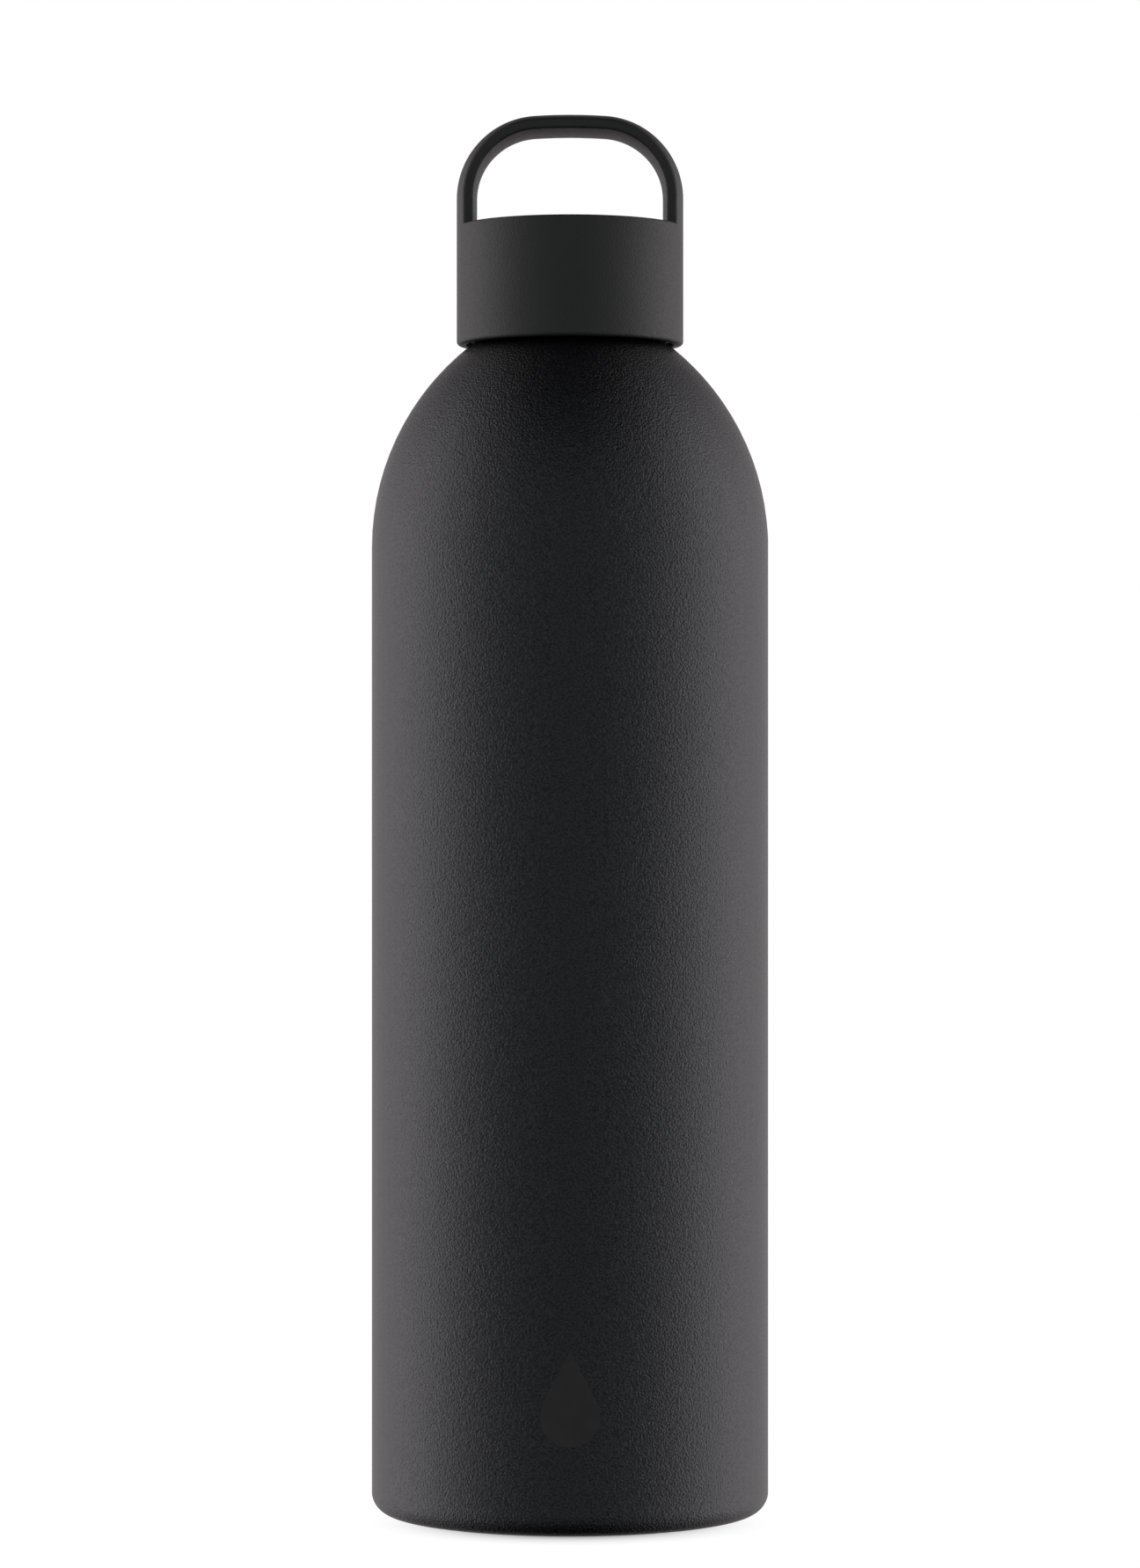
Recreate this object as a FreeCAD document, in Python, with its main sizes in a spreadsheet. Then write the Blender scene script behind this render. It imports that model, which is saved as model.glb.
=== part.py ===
import FreeCAD, Part
import math
import os
from types import SimpleNamespace

import Sketcher

# Insulated steel bottle with a screw lid and a fixed carrying loop.
# Millimetres, +Z up, origin at the centre of the base. The loop spans X; the mark faces -Y.

DIMENSIONS = {
    # outer wall
    "body_radius": 42.5,
    "foot_round": 4.5,
    "shoulder_start": 206.5,
    "shoulder_radius": 55.0,
    "shell_wall": 0.5,
    "standing_ring_inner": 36.0,
    # neck and mouth
    "neck_radius": 19.5,
    "neck_blend": 1.5,
    "neck_top": 264.0,
    "lip_thickness": 0.8,
    "lip_round": 0.35,
    # thread
    "thread_pitch": 5.0,
    "thread_depth": 1.1,
    "thread_root_width": 2.4,
    "thread_crest_width": 1.0,
    "thread_first": 254.6,
    "thread_rise": 6.6,
    # inner vessel
    "vacuum_gap": 2.9,
    "vessel_wall": 0.4,
    "vessel_neck_radius": 18.4,
    "vessel_neck_blend": 2.0,
    "vessel_tube_end": 17.0,
    "vessel_floor": 12.0,
    "vessel_floor_round": 4.5,
    "vessel_floor_rise": 2.0,
    "vessel_floor_ring": 30.0,
    # vacuum base, port and getter
    "vacuum_base_level": 6.5,
    "vacuum_base_wall": 0.5,
    "vacuum_base_rim": 12.5,
    "vacuum_base_round": 3.0,
    "port_radius": 1.2,
    "port_dimple_radius": 5.0,
    "port_dimple_rise": 1.5,
    "bead_radius": 3.2,
    "bead_drop": 1.0,
    "bead_flange": 0.4,
    "bead_proud": 0.2,
    "getter_radius": 5.0,
    "getter_thickness": 2.5,
    "getter_bevel": 0.3,
    "getter_offset": 22.0,
    "strap_thickness": 0.2,
    "strap_width": 4.0,
    "strap_foot": 3.0,
    "part_gap": 0.05,
    # base cover
    "cover_recess": 2.2,
    "cover_wall": 0.5,
    "cover_ring_width": 2.4,
    "cover_slope_width": 2.6,
    "cover_bend": 0.8,
    # reflective foil
    "foil_thickness": 0.05,
    "foil_bottom": 20.0,
    "foil_top": 204.0,
    # lid, measured from the lower edge of its skirt
    "lid_level": 250.0,
    "lid_radius": 24.3,
    "lid_tall": 25.4,
    "lid_wall": 2.0,
    "lid_roof": 2.2,
    "skirt_round": 0.76,
    "rim_round": 0.45,
    "snap_level": 12.0,
    "snap_depth": 0.3,
    "snap_width": 1.5,
    "liner_bottom": 1.0,
    "liner_top": 17.0,
    "liner_ceiling": 15.65,
    "liner_wall": 1.3,
    "stopper_radius": 17.3,
    "stopper_bottom": 7.0,
    "stopper_bevel": 0.8,
    "seal_groove_depth": 0.6,
    "seal_groove_tall": 1.65,
    "gasket_reach": 20.6,
    "gasket_bevel": 0.3,
    "lid_thread_depth": 1.2,
    "lid_thread_root_width": 2.0,
    "lid_thread_crest_width": 0.9,
    "lid_thread_drop": 1.6,
    "lid_thread_rise": 9.0,
    # carrying loop: an arch of one section, crowned outside and towards the fingers
    "loop_width": 17.0,
    "loop_thickness": 4.38,
    "loop_inner_crown": 0.8,
    "loop_top": 49.28,
    "loop_corner": 17.77,
    "loop_corner_centre": 31.3,
    "loop_edge_round": 0.85,
    "loop_inner_edge_round": 0.6,
    "loop_foot": 1.6,
}

LEFT = 1
RIGHT = -1
X_AXIS_LINE = -1
Z_AXIS_LINE = -2


class Size:
    """A size with its value now and the expression that binds it to the sheet."""

    def __init__(self, value, text):
        self.value = value
        self.text = text

    def combine(self, other, sign, swap=False):
        other = as_size(other)
        first, second = (other, self) if swap else (self, other)
        values = {
            "+": lambda a, b: a + b,
            "-": lambda a, b: a - b,
            "*": lambda a, b: a * b,
            "/": lambda a, b: a / b,
        }
        value = values[sign](first.value, second.value)
        return Size(value, f"({first.text} {sign} {second.text})")

    def __add__(self, other):
        return self.combine(other, "+")

    def __radd__(self, other):
        return self.combine(other, "+", swap=True)

    def __sub__(self, other):
        return self.combine(other, "-")

    def __rsub__(self, other):
        return self.combine(other, "-", swap=True)

    def __mul__(self, other):
        return self.combine(other, "*")

    def __rmul__(self, other):
        return self.combine(other, "*", swap=True)

    def __truediv__(self, other):
        return self.combine(other, "/")

    def __neg__(self):
        return Size(-self.value, f"(0 - {self.text})")


def as_size(number):
    return number if isinstance(number, Size) else Size(number, f"({number!r})")


def root(size):
    return Size(math.sqrt(size.value), f"sqrt({size.text})")


def other_leg(longest, leg):
    """The third side of a right triangle."""
    return root(longest * longest - leg * leg)


def make_sheet(doc):
    """The spreadsheet of driving dimensions, and the same dimensions as sizes."""
    sheet = doc.addObject("Spreadsheet::Sheet", "dimensions")
    for row, (name, number) in enumerate(DIMENSIONS.items(), start=1):
        sheet.set(f"A{row}", name)
        sheet.set(f"B{row}", str(number))
        sheet.setAlias(f"B{row}", name)
    doc.recompute()
    sizes = {name: Size(float(getattr(sheet, name)), f"dimensions.{name}") for name in DIMENSIONS}
    return SimpleNamespace(**sizes)


# Helpers for bodies, sketches and features

def new_body(doc, name):
    body = doc.addObject("PartDesign::Body", name)
    body.Label = name
    return body


def origin_plane(body, role):
    return next(plane for plane in body.Origin.OriginFeatures if plane.Role == role)


def arc_geometry(start, end, turn, radius):
    """The shorter arc from start to end that turns to the given side."""
    chord = end - start
    middle = (start + end) * 0.5
    height = math.sqrt(max(radius ** 2 - (chord.Length / 2) ** 2, 0.0))
    to_left = FreeCAD.Vector(-chord.y, chord.x, 0).normalize()
    centre = middle + to_left * (height * turn)
    first, last = (start, end) if turn == LEFT else (end, start)
    angles = [math.atan2(point.y - centre.y, point.x - centre.x) for point in (first, last)]
    if angles[1] < angles[0]:
        angles[1] += 2 * math.pi
    circle = Part.Circle(centre, FreeCAD.Vector(0, 0, 1), radius)
    return Part.ArcOfCircle(circle, angles[0], angles[1])


def place_corner(sketch, side, end, across, up):
    """Holds a corner at its distances from the sketch's origin."""
    for kind, size, axis_line in (("DistanceX", across, Z_AXIS_LINE), ("DistanceY", up, X_AXIS_LINE)):
        if size.value == 0:
            sketch.addConstraint(Sketcher.Constraint("PointOnObject", side, end, axis_line))
            continue
        index = sketch.addConstraint(Sketcher.Constraint(kind, -1, 1, side, end, size.value))
        sketch.setExpression(f"Constraints[{index}]", size.text)


def outline(body, name, role, corners, offset=None, closed=True):
    """A sketch of sides. A corner is (across, up), or (across, up, turn, radius) where an arc leaves it."""
    sketch = body.newObject("Sketcher::SketchObject", name)
    sketch.AttachmentSupport = (origin_plane(body, role), [""])
    sketch.MapMode = "FlatFace"
    if offset is not None:
        sketch.setExpression("AttachmentOffset.Base.z", offset.text)
    corners = [tuple(map(as_size, corner[:2])) + tuple(corner[2:]) for corner in corners]
    points = [FreeCAD.Vector(corner[0].value, corner[1].value, 0) for corner in corners]
    sides = len(corners) if closed else len(corners) - 1
    ends = []
    for index in range(sides):
        start, end = points[index], points[(index + 1) % len(points)]
        if len(corners[index]) == 2:
            sketch.addGeometry(Part.LineSegment(start, end), False)
            ends.append((1, 2))
            continue
        turn, radius = corners[index][2], as_size(corners[index][3])
        side = sketch.addGeometry(arc_geometry(start, end, turn, radius.value), False)
        ends.append((1, 2) if turn == LEFT else (2, 1))
        constraint = sketch.addConstraint(Sketcher.Constraint("Radius", side, radius.value))
        sketch.setExpression(f"Constraints[{constraint}]", radius.text)
    for index, corner in enumerate(corners):
        before = (index - 1) % len(corners)
        if index == sides:
            place_corner(sketch, before, ends[before][1], corner[0], corner[1])
            continue
        if closed or index:
            joined = Sketcher.Constraint("Coincident", before, ends[before][1], index, ends[index][0])
            sketch.addConstraint(joined)
        place_corner(sketch, index, ends[index][0], corner[0], corner[1])
    return sketch


def revolve(body, name, corners):
    """A full turn of an outline in the XZ plane about Z."""
    sketch = outline(body, f"{name}_outline", "XZ_Plane", corners)
    feature = body.newObject("PartDesign::Revolution", name)
    feature.Profile = sketch
    feature.ReferenceAxis = (sketch, ["V_Axis"])
    feature.Angle = 360
    sketch.Visibility = False
    return feature


def thread_ridge(body, name, base, crest, root_width, crest_width, first, rise, pitch):
    """A right-hand ridge that climbs from its first height by its rise."""
    corners = [
        (base, first - root_width / 2),
        (crest, first - crest_width / 2),
        (crest, first + crest_width / 2),
        (base, first + root_width / 2),
    ]
    sketch = outline(body, f"{name}_outline", "XZ_Plane", corners)
    ridge = body.newObject("PartDesign::AdditiveHelix", name)
    ridge.Profile = sketch
    ridge.ReferenceAxis = (sketch, ["V_Axis"])
    ridge.Mode = 0
    ridge.Pitch = pitch.value
    ridge.Height = rise.value
    ridge.setExpression("Pitch", pitch.text)
    ridge.setExpression("Height", rise.text)
    sketch.Visibility = False
    return ridge


def is_circle(edge):
    return isinstance(edge.Curve, Part.Circle)


def round_edges(body, name, base, size, wanted):
    """A fillet on every edge of the base feature that the test picks out."""
    body.Document.recompute()
    edges = [f"Edge{i}" for i, edge in enumerate(base.Shape.Edges, start=1) if wanted(edge)]
    if not edges:
        raise RuntimeError(f"{name}: no edge to round")
    fillet = body.newObject("PartDesign::Fillet", name)
    fillet.Base = (base, edges)
    fillet.Radius = size.value
    fillet.setExpression("Radius", size.text)
    return fillet


# Bottle

def shoulder_centre(d):
    return SimpleNamespace(across=d.body_radius - d.shoulder_radius, up=d.shoulder_start)


def vessel_radius(d):
    return d.body_radius - d.shell_wall - d.vacuum_gap


def wall_corners(centre, radius, neck, blend):
    """Where one face of a bottle wall changes from side to shoulder, to blend, to neck."""
    arc = radius - centre.across
    reach = arc + blend
    blend_across = neck + blend - centre.across
    blend_rise = other_leg(reach, blend_across)
    return SimpleNamespace(
        arc=arc,
        blend=blend,
        side_top=(radius, centre.up),
        shoulder_end=(centre.across + blend_across * arc / reach, centre.up + blend_rise * arc / reach),
        neck_foot=(neck, centre.up + blend_rise),
    )


def outer_shell(doc, d):
    """Deep-drawn outer wall: turned-in foot, straight side, domed shoulder and threaded neck."""
    body = new_body(doc, "outer_shell")
    wall = d.shell_wall
    centre = shoulder_centre(d)
    outside = wall_corners(centre, d.body_radius, d.neck_radius, d.neck_blend)
    inside = wall_corners(centre, d.body_radius - wall, d.neck_radius - wall, d.neck_blend + wall)
    foot_flat = d.body_radius - d.foot_round
    neck_end = d.neck_top - d.lip_thickness
    revolve(body, "shell_turn", [
        (d.standing_ring_inner, 0),
        (foot_flat, 0, LEFT, d.foot_round),
        (d.body_radius, d.foot_round),
        outside.side_top + (LEFT, outside.arc),
        outside.shoulder_end + (RIGHT, outside.blend),
        outside.neck_foot,
        (d.neck_radius, neck_end),
        (d.neck_radius - wall, neck_end),
        inside.neck_foot + (LEFT, inside.blend),
        inside.shoulder_end + (RIGHT, inside.arc),
        inside.side_top,
        (d.body_radius - wall, d.foot_round, RIGHT, d.foot_round - wall),
        (foot_flat, wall),
        (d.standing_ring_inner, wall),
    ])
    thread_ridge(body, "neck_thread", d.neck_radius - wall / 2, d.neck_radius + d.thread_depth,
                 d.thread_root_width, d.thread_crest_width, d.thread_first, d.thread_rise,
                 d.thread_pitch)
    return body


def inner_vessel(doc, d):
    """Drawn inner wall whose lip turns out over the outer neck, where the two are welded."""
    body = new_body(doc, "inner_vessel")
    wall = d.vessel_wall
    centre = shoulder_centre(d)
    radius = vessel_radius(d)
    neck = d.vessel_neck_radius
    outside = wall_corners(centre, radius, neck, d.vessel_neck_blend)
    inside = wall_corners(centre, radius - wall, neck - wall, d.vessel_neck_blend + wall)
    lip_under = d.neck_top - d.lip_thickness + d.part_gap
    revolve(body, "vessel_turn", [
        (radius, d.vessel_tube_end),
        outside.side_top + (LEFT, outside.arc),
        outside.shoulder_end + (RIGHT, outside.blend),
        outside.neck_foot,
        (neck, lip_under),
        (d.neck_radius, lip_under),
        (d.neck_radius, d.neck_top - d.lip_round, LEFT, d.lip_round),
        (d.neck_radius - d.lip_round, d.neck_top),
        (neck - wall + d.lip_round, d.neck_top, LEFT, d.lip_round),
        (neck - wall, d.neck_top - d.lip_round),
        inside.neck_foot + (LEFT, inside.blend),
        inside.shoulder_end + (RIGHT, inside.arc),
        inside.side_top,
        (radius - wall, d.vessel_tube_end),
    ])
    return body


def inner_bottom(doc, d):
    """Pressed cup with a raised centre, butt-welded under the inner wall."""
    body = new_body(doc, "inner_bottom")
    wall = d.vessel_wall
    radius = vessel_radius(d)
    low = d.vessel_floor
    ring = d.vessel_floor_ring
    rise = d.vessel_floor_rise
    bend = d.vessel_floor_round
    dome = (ring * ring + rise * rise) / (2 * rise)
    rim = d.vessel_tube_end - d.part_gap
    revolve(body, "cup_turn", [
        (0, low + rise, RIGHT, dome),
        (ring, low),
        (radius - bend, low, LEFT, bend),
        (radius, low + bend),
        (radius, rim),
        (radius - wall, rim),
        (radius - wall, low + bend, RIGHT, bend - wall),
        (radius - bend, low + wall),
        (ring, low + wall, LEFT, dome),
        (0, low + rise + wall),
    ])
    return body


def reflective_foil(doc, d):
    """Foil sleeve round the straight side of the inner wall."""
    body = new_body(doc, "reflective_foil")
    inside = vessel_radius(d) + 2 * d.part_gap
    outside = inside + d.foil_thickness
    revolve(body, "foil_turn", [
        (inside, d.foil_bottom),
        (outside, d.foil_bottom),
        (outside, d.foil_top),
        (inside, d.foil_top),
    ])
    return body


def vacuum_base(doc, d):
    """Pressed disc that closes the vacuum space, with its rim up and a port in a raised dimple."""
    body = new_body(doc, "vacuum_base")
    wall = d.vacuum_base_wall
    radius = d.body_radius - d.shell_wall - d.part_gap
    low = d.vacuum_base_level
    bend = d.vacuum_base_round
    rise = d.port_dimple_rise
    dimple = d.port_dimple_radius
    revolve(body, "disc_turn", [
        (d.port_radius, low + rise),
        (dimple, low + rise),
        (dimple + rise, low),
        (radius - bend, low, LEFT, bend),
        (radius, low + bend),
        (radius, d.vacuum_base_rim),
        (radius - wall, d.vacuum_base_rim),
        (radius - wall, low + bend, RIGHT, bend - wall),
        (radius - bend, low + wall),
        (dimple + rise, low + wall),
        (dimple, low + rise + wall),
        (d.port_radius, low + rise + wall),
    ])
    return body


def sealing_bead(doc, d):
    """Solder-glass bead melted into the port from below."""
    body = new_body(doc, "sealing_bead")
    top = d.vacuum_base_level + d.port_dimple_rise - d.part_gap
    plug = d.port_radius - d.part_gap
    plug_top = d.vacuum_base_level + d.port_dimple_rise + d.vacuum_base_wall + d.bead_proud
    drop = d.bead_drop
    dome = (d.bead_radius * d.bead_radius + drop * drop) / (2 * drop)
    revolve(body, "bead_turn", [
        (0, top - d.bead_flange - drop, LEFT, dome),
        (d.bead_radius, top - d.bead_flange),
        (d.bead_radius, top),
        (plug, top),
        (plug, plug_top),
        (0, plug_top),
    ])
    return body


def on_vacuum_base(body, d):
    """Stands a piece on the vacuum base, off to one side of the port."""
    body.setExpression("Placement.Base.x", d.getter_offset.text)
    level = d.vacuum_base_level + d.vacuum_base_wall + d.part_gap
    body.setExpression("Placement.Base.z", level.text)


def getter(doc, d):
    """Tablet that takes up stray gas in the vacuum."""
    body = new_body(doc, "getter")
    radius = d.getter_radius
    tall = d.getter_thickness
    revolve(body, "tablet_turn", [
        (0, 0),
        (radius, 0),
        (radius, tall - d.getter_bevel),
        (radius - d.getter_bevel, tall),
        (0, tall),
    ])
    on_vacuum_base(body, d)
    return body


def getter_strap(doc, d):
    """Spot-welded strap bent over the tablet."""
    body = new_body(doc, "getter_strap")
    thick = d.strap_thickness
    half = d.getter_radius + 2 * d.part_gap
    end = half + thick + d.strap_foot
    under = d.getter_thickness + d.part_gap
    right_side = [
        (half, 0),
        (end, 0),
        (end, thick),
        (half + thick, thick),
        (half + thick, under + thick),
    ]
    left_side = [(-across, up) for across, up in reversed(right_side)]
    corners = [(half, under)] + right_side + left_side + [(-half, under)]
    sketch = outline(body, "strap_outline", "XZ_Plane", corners)
    pad = body.newObject("PartDesign::Pad", "strap_pad")
    pad.Profile = sketch
    pad.SideType = "Symmetric"
    pad.Length = d.strap_width.value
    pad.setExpression("Length", d.strap_width.text)
    sketch.Visibility = False
    on_vacuum_base(body, d)
    return body


def base_cover(doc, d):
    """Disc set inside the standing ring, with a shallow recess."""
    body = new_body(doc, "base_cover")
    wall = d.cover_wall
    outer = d.standing_ring_inner - d.part_gap
    ring = outer - d.cover_ring_width
    recess = ring - d.cover_slope_width
    turn = revolve(body, "cover_turn", [
        (0, d.cover_recess),
        (recess, d.cover_recess),
        (ring, 0),
        (outer, 0),
        (outer, wall),
        (ring, wall),
        (recess, d.cover_recess + wall),
        (0, d.cover_recess + wall),
    ])
    bends = (recess.value, ring.value)

    def at_bend(edge):
        return is_circle(edge) and any(abs(edge.Curve.Radius - radius) < 0.01 for radius in bends)

    round_edges(body, "cover_bends", turn, d.cover_bend, at_bend)
    return body


# Lid, with heights measured from the lower edge of its skirt

def on_bottle(body, d):
    body.setExpression("Placement.Base.z", d.lid_level.text)


def loop_arch(body, d):
    """The middle line of the loop's outer face: two upright legs, round corners and a crowned top."""
    foot = d.lid_tall - d.loop_foot
    half = d.lid_radius
    corner = d.loop_corner
    corner_across = half - corner
    up = d.loop_top - d.loop_corner_centre
    crown = (corner_across * corner_across + up * up - corner * corner) / (2 * (up - corner))
    share = crown / (crown - corner)
    join_across = corner_across * share
    join_up = d.loop_top - crown + (crown - up) * share
    return outline(body, "loop_arch", "XZ_Plane", [
        (half, foot),
        (half, d.loop_corner_centre, LEFT, corner),
        (join_across, join_up, LEFT, crown),
        (-join_across, join_up, LEFT, corner),
        (-half, d.loop_corner_centre),
        (-half, foot),
    ], closed=False)


def loop_section(body, d):
    """The loop's section at its foot, where its outer face is part of the lid's side."""
    half_width = d.loop_width / 2
    crown = d.loop_inner_crown
    outer = other_leg(d.lid_radius, half_width)
    inner = d.lid_radius - d.loop_thickness + crown
    inner_radius = (half_width * half_width + crown * crown) / (2 * crown)
    return outline(body, "loop_section", "XY_Plane", [
        (outer, -half_width, LEFT, d.lid_radius),
        (outer, half_width),
        (inner, half_width, LEFT, inner_radius),
        (inner, -half_width),
    ], d.lid_tall - d.loop_foot)


def round_loop(body, sweep, d):
    """Rounds the loop's outer and inner edges on its front and back faces."""
    face = d.loop_width.value / 2
    foot = (d.lid_tall - d.loop_foot).value
    corner_across = (d.lid_radius - d.loop_corner).value
    corner_up = d.loop_corner_centre.value
    between = (d.loop_corner - d.loop_thickness / 2).value

    def reach(edge):
        middle = edge.valueAt((edge.FirstParameter + edge.LastParameter) / 2)
        return math.hypot(max(abs(middle.x) - corner_across, 0), max(middle.z - corner_up, 0))

    def on_face(edge):
        box = edge.BoundBox
        flat = abs(abs(box.YMin) - face) < 0.01 and box.YLength < 0.01
        return flat and box.ZMax > foot + 0.1

    outer = round_edges(body, "loop_outer_round", sweep, d.loop_edge_round,
                        lambda edge: on_face(edge) and reach(edge) > between)
    return round_edges(body, "loop_inner_round", outer, d.loop_inner_edge_round,
                       lambda edge: on_face(edge) and reach(edge) < between)


def carrying_loop(body, d):
    """The loop: its section swept along the arch, with rounded edges."""
    section = loop_section(body, d)
    arch = loop_arch(body, d)
    sweep = body.newObject("PartDesign::AdditivePipe", "loop_sweep")
    sweep.Profile = section
    sweep.Spine = (arch, [f"Edge{side + 1}" for side in range(arch.GeometryCount)])
    section.Visibility = False
    arch.Visibility = False
    round_loop(body, sweep, d)


def lid_shell(doc, d):
    """Moulded lid: roof and skirt in one with the carrying loop."""
    body = new_body(doc, "lid_shell")
    carrying_loop(body, d)
    inner = d.lid_radius - d.lid_wall
    half_snap = d.snap_width / 2
    snap_out = inner + d.snap_depth + d.part_gap
    revolve(body, "lid_turn", [
        (inner, 0),
        (d.lid_radius - d.skirt_round, 0, LEFT, d.skirt_round),
        (d.lid_radius, d.skirt_round),
        (d.lid_radius, d.lid_tall - d.rim_round, LEFT, d.rim_round),
        (d.lid_radius - d.rim_round, d.lid_tall),
        (0, d.lid_tall),
        (0, d.lid_tall - d.lid_roof),
        (inner, d.lid_tall - d.lid_roof),
        (inner, d.snap_level + half_snap + d.snap_depth),
        (snap_out, d.snap_level + half_snap),
        (snap_out, d.snap_level - half_snap),
        (inner, d.snap_level - half_snap - d.snap_depth),
    ])
    on_bottle(body, d)
    return body


def lid_liner(doc, d):
    """Snapped-in liner: threaded wall outside the neck, insulated stopper inside it."""
    body = new_body(doc, "lid_liner")
    outer = d.lid_radius - d.lid_wall - d.part_gap
    inner = outer - d.liner_wall
    half_snap = d.snap_width / 2 - d.part_gap
    snap_out = outer + d.snap_depth
    core = d.stopper_radius - d.liner_wall
    groove_low = d.liner_ceiling - d.seal_groove_tall
    groove_in = d.stopper_radius - d.seal_groove_depth
    revolve(body, "liner_turn", [
        (inner, d.liner_bottom),
        (outer, d.liner_bottom),
        (outer, d.snap_level - half_snap - d.snap_depth),
        (snap_out, d.snap_level - half_snap),
        (snap_out, d.snap_level + half_snap),
        (outer, d.snap_level + half_snap + d.snap_depth),
        (outer, d.liner_top),
        (core, d.liner_top),
        (core, d.stopper_bottom + d.liner_wall),
        (0, d.stopper_bottom + d.liner_wall),
        (0, d.stopper_bottom),
        (d.stopper_radius - d.stopper_bevel, d.stopper_bottom),
        (d.stopper_radius, d.stopper_bottom + d.stopper_bevel),
        (d.stopper_radius, groove_low),
        (groove_in, groove_low),
        (groove_in, d.liner_ceiling),
        (inner, d.liner_ceiling),
    ])
    first = d.thread_first - d.lid_thread_drop - d.lid_level
    crest = inner - d.lid_thread_depth
    thread_ridge(body, "lid_thread", inner + d.liner_wall / 4, crest, d.lid_thread_root_width,
                 d.lid_thread_crest_width, first, d.lid_thread_rise, d.thread_pitch)
    on_bottle(body, d)
    return body


def lid_insulation(doc, d):
    """Foam core: a wide disc under the roof and a plug in the stopper."""
    body = new_body(doc, "lid_insulation")
    gap = d.part_gap
    plug = d.stopper_radius - d.liner_wall - gap
    disc = d.lid_radius - d.lid_wall - 2 * gap
    plug_low = d.stopper_bottom + d.liner_wall + gap
    disc_low = d.liner_top + gap
    disc_top = d.lid_tall - d.lid_roof - gap
    revolve(body, "foam_turn", [
        (0, plug_low),
        (plug, plug_low),
        (plug, disc_low),
        (disc, disc_low),
        (disc, disc_top),
        (0, disc_top),
    ])
    on_bottle(body, d)
    return body


def lid_gasket(doc, d):
    """Silicone ring held in the stopper's groove, over the bottle's lip."""
    body = new_body(doc, "lid_gasket")
    gap = d.part_gap
    bevel = d.gasket_bevel
    inner = d.stopper_radius - d.seal_groove_depth + gap
    low = d.liner_ceiling - d.seal_groove_tall + gap
    top = d.liner_ceiling - gap
    revolve(body, "gasket_turn", [
        (inner, low),
        (d.gasket_reach - bevel, low),
        (d.gasket_reach, low + bevel),
        (d.gasket_reach, top - bevel),
        (d.gasket_reach - bevel, top),
        (inner, top),
    ])
    on_bottle(body, d)
    return body


PIECES = (
    outer_shell, inner_vessel, inner_bottom, reflective_foil, vacuum_base, sealing_bead,
    getter, getter_strap, base_cover, lid_shell, lid_liner, lid_insulation, lid_gasket,
)


def check(doc, bodies):
    """Stops at a failed object, or at a sub-part that isn't one sound solid."""
    for item in doc.Objects:
        if "Invalid" in item.State or "Error" in item.State:
            raise RuntimeError(f"{item.Name} failed: {item.State}")
    for body in bodies:
        shape = body.Shape
        if shape.isNull() or not shape.isValid() or len(shape.Solids) != 1:
            raise RuntimeError(f"{body.Label} isn't one valid solid")


def main():
    doc = FreeCAD.newDocument("insulated_bottle")
    sizes = make_sheet(doc)
    bodies = [make_piece(doc, sizes) for make_piece in PIECES]
    doc.recompute()
    check(doc, bodies)
    os.makedirs("parts", exist_ok=True)
    for body in bodies:
        body.Shape.exportStep(f"parts/{body.Label}.step")
        box = body.Shape.optimalBoundingBox(False)
        print(f"{body.Label}: {body.Shape.Volume:.1f} mm3, z {box.ZMin:.2f} to {box.ZMax:.2f}")


main()
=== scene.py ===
import math

import bpy
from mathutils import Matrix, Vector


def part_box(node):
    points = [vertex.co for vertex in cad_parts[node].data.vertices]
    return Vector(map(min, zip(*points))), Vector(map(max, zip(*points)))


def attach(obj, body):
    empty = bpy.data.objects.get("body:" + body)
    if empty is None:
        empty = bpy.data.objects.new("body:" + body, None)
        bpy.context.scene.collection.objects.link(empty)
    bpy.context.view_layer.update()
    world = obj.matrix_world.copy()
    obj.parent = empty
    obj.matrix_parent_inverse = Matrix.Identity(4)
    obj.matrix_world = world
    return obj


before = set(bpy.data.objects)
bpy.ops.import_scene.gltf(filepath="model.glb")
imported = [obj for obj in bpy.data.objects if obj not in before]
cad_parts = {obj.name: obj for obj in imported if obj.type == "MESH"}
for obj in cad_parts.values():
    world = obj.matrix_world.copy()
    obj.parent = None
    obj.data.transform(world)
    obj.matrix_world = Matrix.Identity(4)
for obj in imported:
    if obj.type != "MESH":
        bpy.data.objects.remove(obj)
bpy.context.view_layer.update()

# Insulated steel bottle with a screw lid and carrying loop, in a white studio. Metres.
MM = 0.001
TINY = 0.001                # keeps divisions away from zero

# ---------------------------------------------------------------- camera
CAMERA_DISTANCE = 1.098
CAMERA_HEIGHT = 0.1505
SENSOR = 36.0               # in millimetres, as the lens is
LENS = 117.54
HORIZON_DROP = 0.01627      # the horizon below the picture's middle, as a share of its height
NEAREST_SEEN = 0.05
FARTHEST_SEEN = 60.0


def make_camera():
    data = bpy.data.cameras.new("camera")
    data.sensor_width = SENSOR
    data.lens = LENS
    data.shift_y = HORIZON_DROP
    data.clip_start = NEAREST_SEEN
    data.clip_end = FARTHEST_SEEN
    camera = bpy.data.objects.new("camera", data)
    camera.location = (0.0, -CAMERA_DISTANCE, CAMERA_HEIGHT)
    camera.rotation_euler = (math.radians(90.0), 0.0, 0.0)
    bpy.context.scene.collection.objects.link(camera)
    bpy.context.scene.camera = camera


# ---------------------------------------------------------------- node graphs
NOISE_SPAN = (0.3, 0.7)     # where nearly all of a noise's values lie
WEAR_SAMPLES = 4
# sockets of a mix node set to colours: they are numbered, because its other settings share their names
MIX_FACTOR = 0
MIX_FIRST = 6
MIX_SECOND = 7
MIX_RESULT = 2


def grey(value):
    return (value, value, value, 1.0)


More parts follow.
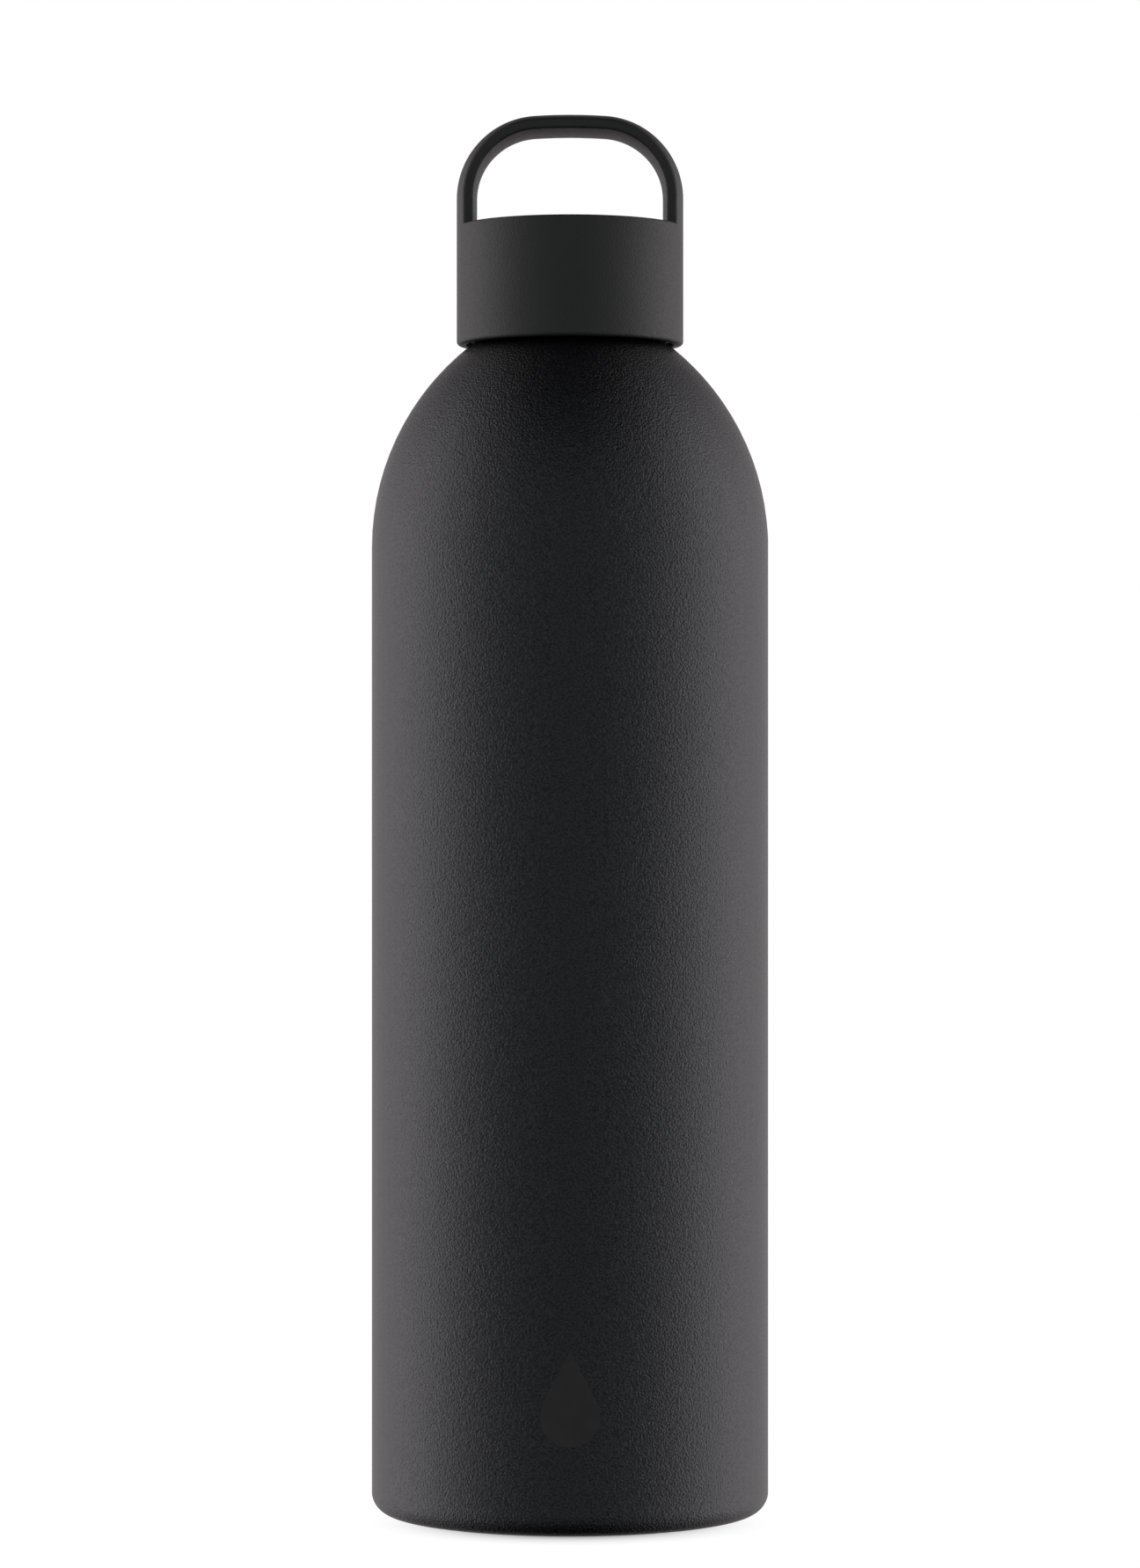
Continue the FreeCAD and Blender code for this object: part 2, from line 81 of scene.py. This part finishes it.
class Graph:
    """A node tree, with short ways to add nodes to it."""

    def __init__(self, tree):
        self.tree = tree
        tree.nodes.clear()

    def add(self, kind, inputs=None, **settings):
        node = self.tree.nodes.new(kind)
        for name, value in settings.items():
            setattr(node, name, value)
        for name, value in (inputs or {}).items():
            self.feed(node.inputs[name], value)
        return node

    def feed(self, socket, value):
        if isinstance(value, bpy.types.NodeSocket):
            self.tree.links.new(value, socket)
        else:
            socket.default_value = value

    def compute(self, operation, *values):
        node = self.add("ShaderNodeMath", operation=operation)
        for socket, value in zip(node.inputs, values):
            self.feed(socket, value)
        return node.outputs[0]

    def plus(self, first, second):
        return self.compute("ADD", first, second)

    def minus(self, first, second):
        return self.compute("SUBTRACT", first, second)

    def times(self, first, second):
        return self.compute("MULTIPLY", first, second)

    def over(self, first, second):
        return self.compute("DIVIDE", first, second)

    def ramp(self, value, low, high, to_low=0.0, to_high=1.0):
        """value carried smoothly from the range low..high to the range to_low..to_high."""
        node = self.add(
            "ShaderNodeMapRange",
            {"Value": value, "From Min": low, "From Max": high, "To Min": to_low, "To Max": to_high},
            interpolation_type="SMOOTHSTEP",
        )
        return node.outputs["Result"]

    def spread(self, noise, low=0.0, high=1.0):
        """Noise carried smoothly to the range low..high."""
        return self.ramp(noise, *NOISE_SPAN, low, high)

    def noise(self, where, size, detail=2.0):
        """Noise whose features are about size metres across."""
        node = self.add("ShaderNodeTexNoise", {"Vector": where, "Scale": 1.0 / size, "Detail": detail})
        return node.outputs["Fac"]

    def cells(self, where, size, feature="F1"):
        """Scattered cells about size metres across: the distance to the nearest one's point or border."""
        node = self.add("ShaderNodeTexVoronoi", {"Vector": where, "Scale": 1.0 / size}, feature=feature)
        return node.outputs["Distance"]

    def split(self, where):
        return self.add("ShaderNodeSeparateXYZ", {0: where}).outputs

    def stretch(self, where, x=1.0, y=1.0, z=1.0):
        """A place scaled along each axis. A share under 1 draws a pattern out along that axis."""
        return self.add("ShaderNodeVectorMath", {0: where, 1: (x, y, z)}, operation="MULTIPLY").outputs[0]

    def from_axis(self, where):
        """Distance from the Z axis."""
        x, y, z = self.split(where)
        return self.compute("SQRT", self.plus(self.times(x, x), self.times(y, y)))

    def rings(self, where):
        """A place whose X is the distance from the Z axis, for patterns of concentric rings."""
        return self.add("ShaderNodeCombineXYZ", {"X": self.from_axis(where)}).outputs[0]

    def backward(self, where):
        """-1 straight in front of the Z axis, 0 beside it, 1 straight behind it."""
        y = self.split(where)["Y"]
        return self.over(y, self.compute("MAXIMUM", self.from_axis(where), TINY))

    def blend(self, factor, first, second):
        """The first colour where factor is 0, the second where it is 1."""
        node = self.add("ShaderNodeMix", data_type="RGBA")
        self.feed(node.inputs[MIX_FACTOR], factor)
        self.feed(node.inputs[MIX_FIRST], first)
        self.feed(node.inputs[MIX_SECOND], second)
        return node.outputs[MIX_RESULT]

    def bump(self, height, depth, under=None):
        """A normal for a relief depth metres deep, on top of the relief under it."""
        node = self.add("ShaderNodeBump", {"Height": height, "Distance": depth})
        if under is not None:
            self.feed(node.inputs["Normal"], under)
        return node.outputs["Normal"]

    def wear(self, width, low, high):
        """0 on open faces to 1 on edges. What goes from low to high is 1 minus the product of the true
        normal and the normal rounded over the width."""
        soft = self.add("ShaderNodeBevel", {"Radius": width}, samples=WEAR_SAMPLES).outputs[0]
        true = self.add("ShaderNodeNewGeometry").outputs["Normal"]
        along = self.add("ShaderNodeVectorMath", {0: soft, 1: true}, operation="DOT_PRODUCT")
        return self.ramp(along.outputs["Value"], 1.0 - high, 1.0 - low, 1.0, 0.0)

    def principled(self, normal, **inputs):
        names = {
            "colour": "Base Color",
            "roughness": "Roughness",
            "metallic": "Metallic",
            "specular": "Specular IOR Level",
            "tint": "Specular Tint",
            "coat": "Coat Weight",
            "scatter": "Subsurface Weight",
            "scatter_scale": "Subsurface Scale",
            "anisotropic": "Anisotropic",
        }
        named = {names[name]: value for name, value in inputs.items()}
        return self.add("ShaderNodeBsdfPrincipled", {"Normal": normal, **named}).outputs[0]

    def mix(self, factor, first, second):
        return self.add("ShaderNodeMixShader", {0: factor, 1: first, 2: second}).outputs[0]

    def finish(self, shader):
        self.add("ShaderNodeOutputMaterial", {"Surface": shader})


# ---------------------------------------------------------------- studio
FRONT_LIGHT = 0.39
FRONT_TONE = grey(1.0)
SIDE_LIGHT = 2.0
SIDE_TONE = (1.06, 0.985, 1.0, 1.0)
BACK_LIGHT = 0.68
BACK_FALL = 0.6             # how much of the light from behind is lost higher up

# Where one light gives way to the next: backward is -1 in front and 1 behind, upward -1 below and 1 above
FRONT_TO_SIDE = (-0.75, 0.1)
SIDE_TO_BACK = (0.3, 0.9)
FRONT_TONE_TO_SIDE_TONE = (-0.85, -0.2)
BELOW_TO_LEVEL = (-0.97, -0.22)
LEVEL_TO_ABOVE = (0.46, 0.93)
FALL_BACKWARD = (0.2, 0.9)
FALL_UPWARD = (0.08, 0.5)


def make_world():
    """White to the camera. As light: bright at both sides, dim in front and behind, dark straight above
    and below."""
    world = bpy.data.worlds.new("studio")
    bpy.context.scene.world = world
    world.use_nodes = True
    g = Graph(world.node_tree)
    direction = g.add("ShaderNodeTexCoord").outputs["Generated"]
    backward = g.backward(direction)
    upward = g.split(direction)["Z"]
    to_side = g.ramp(backward, *FRONT_TO_SIDE, FRONT_LIGHT, SIDE_LIGHT)
    to_back = g.ramp(backward, *SIDE_TO_BACK, 1.0, BACK_LIGHT / SIDE_LIGHT)
    height = g.times(g.ramp(upward, *LEVEL_TO_ABOVE, 1.0, 0.0), g.ramp(upward, *BELOW_TO_LEVEL))
    fall = g.times(g.ramp(backward, *FALL_BACKWARD), g.ramp(upward, *FALL_UPWARD, 0.0, BACK_FALL))
    light = g.times(g.times(to_side, to_back), height)
    light = g.times(light, g.minus(1.0, fall))
    tone = g.blend(g.ramp(backward, *FRONT_TONE_TO_SIDE_TONE), FRONT_TONE, SIDE_TONE)
    lighting = g.add("ShaderNodeBackground", {"Color": tone, "Strength": light}).outputs[0]
    backdrop = g.add("ShaderNodeBackground", {"Color": grey(1.0), "Strength": 1.0}).outputs[0]
    seen = g.add("ShaderNodeLightPath").outputs["Is Camera Ray"]
    g.add("ShaderNodeOutputWorld", {"Surface": g.mix(seen, lighting, backdrop)})


FLOOR_HALF_SIZE = 12.0
FLOOR_PAPER = 0.1
FOOT_ROUND = 4.5 * MM       # the round between the wall and the flat that the bottle stands on
SHADOW_LENGTH = 6.5 * MM    # distance in which the shadow falls to about a third
SHADOW_END = 4 * SHADOW_LENGTH
SHADOW_DEPTH = 0.72


def white_floor():
    """Paper lit from within, so that it stays as white as the backdrop. A short shadow in front of and
    behind the base, where it meets the floor, is painted into that glow; the faint paper adds a little
    real shadow."""
    material, g, where = surface("white_floor")
    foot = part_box("outer_shell")[1].x - FOOT_ROUND
    away = g.from_axis(where)
    facing = g.backward(where)
    beyond = g.compute("MAXIMUM", g.minus(away, foot), 0.0)
    fade = g.compute("EXPONENT", g.over(beyond, -SHADOW_LENGTH))
    near = g.times(fade, g.ramp(away, foot, foot + SHADOW_END, 1.0, 0.0))
    # painted shadow: dims the floor's glow near the base, most in front of and behind it
    dark = g.times(g.times(near, g.times(facing, facing)), SHADOW_DEPTH)
    paper = g.add("ShaderNodeBsdfDiffuse", {"Color": grey(FLOOR_PAPER)}).outputs[0]
    glow = g.add("ShaderNodeEmission", {"Color": grey(1.0), "Strength": g.minus(1.0, dark)}).outputs[0]
    g.finish(g.add("ShaderNodeAddShader", {0: paper, 1: glow}).outputs[0])
    return material


def make_floor():
    """A wide flat floor that neither lights the object nor shows in its reflections."""
    size = FLOOR_HALF_SIZE
    corners = [(-size, -size, 0.0), (size, -size, 0.0), (size, size, 0.0), (-size, size, 0.0)]
    mesh = bpy.data.meshes.new("floor")
    mesh.from_pydata(corners, [], [(0, 1, 2, 3)])
    mesh.materials.append(white_floor())
    floor = bpy.data.objects.new("floor", mesh)
    bpy.context.scene.collection.objects.link(floor)
    floor.visible_diffuse = False
    floor.visible_glossy = False


# ---------------------------------------------------------------- materials
COAT_END = 1.5 * MM         # the coat's masking line, above the lower edge of the lid's skirt
COAT_RAGGED = 0.15 * MM     # how far the line strays, and how far the coat takes to end


def surface(name):
    """A new material, its graph, and the place on the object in metres."""
    material = bpy.data.materials.new(name)
    material.use_nodes = True
    g = Graph(material.node_tree)
    return material, g, g.add("ShaderNodeTexCoord").outputs["Object"]


def coat_shader(g, where):
    """Matt black powder coat: cured grains that touch, on a faintly uneven film."""
    grain = g.noise(where, 0.42 * MM)
    pits = g.cells(where, 0.6 * MM)
    patches = g.noise(where, 60 * MM, detail=3.0)
    flow = g.noise(where, 9 * MM, detail=1.0)
    black = g.blend(g.ramp(patches, 0.35, 0.65), (0.0014, 0.0016, 0.0022, 1), (0.0018, 0.0019, 0.0024, 1))
    rubbed = g.times(g.wear(0.6 * MM, 0.02, 0.25), g.ramp(grain, 0.45, 0.6, 0.0, 0.5))
    film = g.bump(flow, 0.03 * MM)
    return g.principled(
        g.bump(g.minus(grain, g.times(pits, 0.25)), 0.2 * MM, under=film),
        colour=g.blend(rubbed, black, grey(0.012)),
        roughness=g.spread(grain, 0.33, 0.43),
        specular=g.spread(grain, 0.36, 0.7),
        tint=(0.87, 0.93, 1.0, 1.0),
    )


def bare_steel_shader(g, where):
    """Turned stainless steel of the neck, with fine rings round it."""
    lines = g.noise(g.stretch(where, 0.03, 0.03, 1.0), 0.09 * MM)
    smears = g.noise(where, 7 * MM, detail=3.0)
    return g.principled(
        g.bump(lines, 0.006 * MM),
        colour=g.blend(g.spread(smears), (0.56, 0.55, 0.53, 1), (0.66, 0.65, 0.63, 1)),
        metallic=1.0,
        roughness=g.plus(g.spread(lines, 0.2, 0.3), g.spread(smears, 0.0, 0.07)),
    )


def powder_coat():
    """Outer wall: coated up to the masking line under the neck's thread, bare steel above it."""
    material, g, where = surface("powder_coat")
    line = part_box("lid_shell")[0].z + COAT_END
    ragged = g.spread(g.noise(where, 1.2 * MM), -COAT_RAGGED, COAT_RAGGED)
    height = g.plus(g.split(where)["Z"], ragged)
    bare = g.ramp(height, line, line + COAT_RAGGED)
    g.finish(g.mix(bare, coat_shader(g, where), bare_steel_shader(g, where)))
    return material


def lid_plastic():
    """Black polypropylene from a spark-eroded mould."""
    material, g, where = surface("lid_plastic")
    grain = g.noise(where, 0.4 * MM)
    flow = g.noise(where, 14 * MM)
    worn = g.times(g.wear(0.5 * MM, 0.02, 0.3), g.ramp(g.noise(where, 3 * MM), 0.4, 0.6, 0.2, 1.0))
    black = g.blend(g.ramp(flow, 0.35, 0.65), (0.0165, 0.0175, 0.017, 1), (0.0185, 0.0195, 0.019, 1))
    g.finish(g.principled(
        g.bump(grain, 0.09 * MM),
        colour=g.blend(worn, black, grey(0.026)),
        roughness=g.minus(g.spread(grain, 0.46, 0.56), g.times(worn, 0.08)),
        specular=0.38,
        tint=(0.94, 1.0, 0.985, 1.0),
    ))
    return material


def liner_plastic():
    """Satin black polypropylene with the fine lines of a turned mould core."""
    material, g, where = surface("liner_plastic")
    lines = g.noise(g.stretch(where, 0.04, 0.04, 1.0), 0.25 * MM)
    cloud = g.noise(where, 6 * MM)
    g.finish(g.principled(
        g.bump(lines, 0.01 * MM),
        colour=g.blend(g.spread(cloud), grey(0.02), grey(0.028)),
        roughness=g.spread(lines, 0.28, 0.38),
        specular=0.5,
    ))
    return material


def vessel_steel():
    """Drawn and electropolished stainless steel."""
    material, g, where = surface("vessel_steel")
    drawn = g.noise(g.stretch(where, 1.0, 1.0, 0.05), 0.5 * MM)
    peel = g.noise(where, 1.6 * MM)
    g.finish(g.principled(
        g.bump(g.plus(g.times(drawn, 0.4), peel), 0.02 * MM),
        colour=g.blend(g.spread(peel), (0.6, 0.59, 0.57, 1), (0.67, 0.66, 0.64, 1)),
        metallic=1.0,
        roughness=g.spread(drawn, 0.16, 0.26),
    ))
    return material


def base_steel():
    """Circular-brushed stainless steel, with patches of scuffs."""
    material, g, where = surface("base_steel")
    brushed = g.noise(g.rings(where), 0.12 * MM, detail=3.0)
    scuffs = g.noise(g.stretch(where, 1.0, 0.12, 1.0), 0.7 * MM, detail=3.0)
    scuffed = g.times(g.ramp(scuffs, 0.56, 0.66), g.ramp(g.noise(where, 9 * MM), 0.45, 0.6))
    clean = g.blend(brushed, grey(0.5), (0.6, 0.59, 0.58, 1))
    g.finish(g.principled(
        g.bump(g.plus(brushed, g.times(scuffed, 0.6)), 0.012 * MM),
        colour=g.blend(scuffed, clean, grey(0.42)),
        metallic=1.0,
        roughness=g.plus(g.spread(brushed, 0.24, 0.36), g.times(scuffed, 0.15)),
        anisotropic=0.4,
    ))
    return material


def foil():
    """Bright aluminium foil, creased along the borders of uneven cells."""
    material, g, where = surface("foil")
    uneven = g.add("ShaderNodeTexNoise", {"Vector": where, "Scale": 120.0}).outputs["Color"]
    moved = g.add(
        "ShaderNodeVectorMath",
        {0: where, 1: uneven, 2: (4 * MM, 4 * MM, 4 * MM)},
        operation="MULTIPLY_ADD",
    )
    creases = g.cells(moved.outputs[0], 6 * MM, feature="DISTANCE_TO_EDGE")
    g.finish(g.principled(
        g.bump(g.ramp(creases, 0.0, 0.25), 0.15 * MM),
        colour=g.blend(g.noise(where, 3 * MM), (0.82, 0.82, 0.83, 1), (0.9, 0.9, 0.91, 1)),
        metallic=1.0,
        roughness=g.ramp(creases, 0.0, 0.3, 0.22, 0.12),
    ))
    return material


def solder_glass():
    """Glossy dark glass that melted over the evacuation port."""
    material, g, where = surface("solder_glass")
    swirl = g.noise(where, 1.5 * MM, detail=3.0)
    g.finish(g.principled(
        g.bump(swirl, 0.05 * MM),
        colour=g.blend(swirl, (0.05, 0.06, 0.05, 1), (0.09, 0.11, 0.09, 1)),
        roughness=g.spread(swirl, 0.06, 0.16),
        coat=0.5,
    ))
    return material


def getter_alloy():
    """Grey sintered pellet."""
    material, g, where = surface("getter_alloy")
    grains = g.cells(where, 0.3 * MM)
    g.finish(g.principled(
        g.bump(grains, 0.06 * MM),
        colour=g.blend(g.ramp(grains, 0.0, 0.5), grey(0.26), grey(0.12)),
        metallic=0.8,
        roughness=g.ramp(grains, 0.0, 0.6, 0.5, 0.75),
    ))
    return material


def lid_foam():
    """Closed-cell foam."""
    material, g, where = surface("lid_foam")
    cells = g.cells(where, 0.6 * MM)
    g.finish(g.principled(
        g.bump(g.compute("POWER", cells, 2.0), 0.2 * MM),
        colour=g.blend(g.ramp(cells, 0.1, 0.6), (0.86, 0.85, 0.8, 1), (0.72, 0.7, 0.63, 1)),
        roughness=0.85,
        scatter=0.2,
        scatter_scale=1 * MM,
    ))
    return material


def silicone():
    """Translucent grey silicone with a fine matt skin and a little dust."""
    material, g, where = surface("silicone")
    skin = g.noise(where, 0.3 * MM)
    dust = g.ramp(g.noise(where, 0.8 * MM, detail=3.0), 0.6, 0.68)
    g.finish(g.principled(
        g.bump(skin, 0.015 * MM),
        colour=g.blend(dust, (0.62, 0.62, 0.6, 1), (0.74, 0.74, 0.72, 1)),
        roughness=g.spread(skin, 0.42, 0.55),
        scatter=0.35,
        scatter_scale=0.8 * MM,
    ))
    return material


def printed_ink():
    """Smooth satin ink, a shade lighter and warmer than the coat under it."""
    material, g, where = surface("printed_ink")
    skin = g.noise(where, 0.5 * MM)
    body = g.noise(where, 5 * MM)
    g.finish(g.principled(
        g.bump(skin, 0.02 * MM),
        colour=g.blend(g.spread(body), (0.0078, 0.0074, 0.0068, 1), (0.0088, 0.0084, 0.0077, 1)),
        roughness=g.spread(skin, 0.46, 0.52),
        specular=g.spread(body, 0.5, 0.56),
    ))
    return material


def dress_cad_nodes():
    """Give each CAD node the material that its slot names."""
    makers = {
        "powder_coat": powder_coat,
        "lid_plastic": lid_plastic,
        "liner_plastic": liner_plastic,
        "vessel_steel": vessel_steel,
        "base_steel": base_steel,
        "foil": foil,
        "solder_glass": solder_glass,
        "getter_alloy": getter_alloy,
        "lid_foam": lid_foam,
        "silicone": silicone,
    }
    made = {slot_name: maker() for slot_name, maker in makers.items()}
    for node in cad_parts.values():
        for slot in node.material_slots:
            slot.material = made[slot.material.name]


# ---------------------------------------------------------------- printed mark
MARK_HEIGHT = 20 * MM
MARK_MIDDLE = 29 * MM       # above the floor
MARK_ROUND = 6.2 * MM       # radius of the drop's round lower part
FLANK_START = 1.35 * MARK_ROUND     # height at which the flanks leave the circle
TIP_NARROWING = 0.9         # how fast the flanks close at the tip: 0 makes it a needle
TIP_HALF_WIDTH = 0.02 * MM
INK_THICKNESS = 0.03 * MM   # outside the wall, and as much again inside it
INK_ROWS = 72
INK_COLUMNS = 24
SHARP_EDGE = math.radians(40)


def drop_half_width(height):
    """Half the drop's width at a height above its lowest point: a circle, then flanks that follow a
    cubic from the circle, with its slope there, to the tip."""
    circle = math.sqrt(max(MARK_ROUND ** 2 - (height - MARK_ROUND) ** 2, 0.0))
    if height <= FLANK_START:
        return circle
    flank_half_width = math.sqrt(MARK_ROUND ** 2 - (FLANK_START - MARK_ROUND) ** 2)
    flank_height = MARK_HEIGHT - FLANK_START
    circle_slope = -(FLANK_START - MARK_ROUND) / flank_half_width * flank_height
    share = (height - FLANK_START) / flank_height
    from_width = (2 * share ** 3 - 3 * share ** 2 + 1) * flank_half_width
    from_slope = (share ** 3 - 2 * share ** 2 + share) * circle_slope
    at_tip = (share ** 3 - share ** 2) * flank_half_width * TIP_NARROWING
    return from_width + from_slope - at_tip


def ink_layer(radius, wall, low):
    """The drop's points at a radius from the bottle's axis, in rows from its lowest point to its tip."""
    points = []
    for row in range(INK_ROWS + 1):
        height = MARK_HEIGHT * (1 - math.cos(math.pi * row / INK_ROWS)) / 2
        half = max(drop_half_width(height), TIP_HALF_WIDTH)
        for column in range(INK_COLUMNS + 1):
            angle = half * (2 * column / INK_COLUMNS - 1) / wall
            points.append((radius * math.sin(angle), -radius * math.cos(angle), low + height))
    return points


def ink_rim():
    """Row and column of each point round the drop's outline, in order."""
    rim = [(0, column) for column in range(INK_COLUMNS)]
    rim += [(row, INK_COLUMNS) for row in range(INK_ROWS)]
    rim += [(INK_ROWS, column) for column in range(INK_COLUMNS, 0, -1)]
    rim += [(row, 0) for row in range(INK_ROWS, 0, -1)]
    return rim


def ink_faces():
    """Faces of a closed film whose points are those of its front layer, then those of its back layer."""
    layer_size = (INK_ROWS + 1) * (INK_COLUMNS + 1)

    def front(corner):
        row, column = corner
        return row * (INK_COLUMNS + 1) + column

    def back(corner):
        return layer_size + front(corner)

    faces = []
    for row in range(INK_ROWS):
        for column in range(INK_COLUMNS):
            patch = [(row, column), (row, column + 1), (row + 1, column + 1), (row + 1, column)]
            faces.append([front(corner) for corner in patch])
            faces.append([back(corner) for corner in reversed(patch)])
    rim = ink_rim()
    for here, there in zip(rim, rim[1:] + rim[:1]):
        faces.append([front(there), front(here), back(here), back(there)])
    return faces


def make_mark():
    """A plain water drop printed on the front of the wall: a thin film that follows its curve."""
    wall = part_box("outer_shell")[1].x
    low = MARK_MIDDLE - MARK_HEIGHT / 2
    points = ink_layer(wall + INK_THICKNESS, wall, low) + ink_layer(wall - INK_THICKNESS, wall, low)
    mesh = bpy.data.meshes.new("drop_mark")
    mesh.from_pydata(points, [], ink_faces())
    mesh.validate()
    mesh.shade_smooth()
    mesh.set_sharp_from_angle(angle=SHARP_EDGE)
    mesh.materials.append(printed_ink())
    mark = bpy.data.objects.new("drop_mark", mesh)
    bpy.context.scene.collection.objects.link(mark)
    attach(mark, "bottle")


make_camera()
make_world()
make_floor()
dress_cad_nodes()
make_mark()
bpy.context.scene.view_settings.view_transform = "Standard"
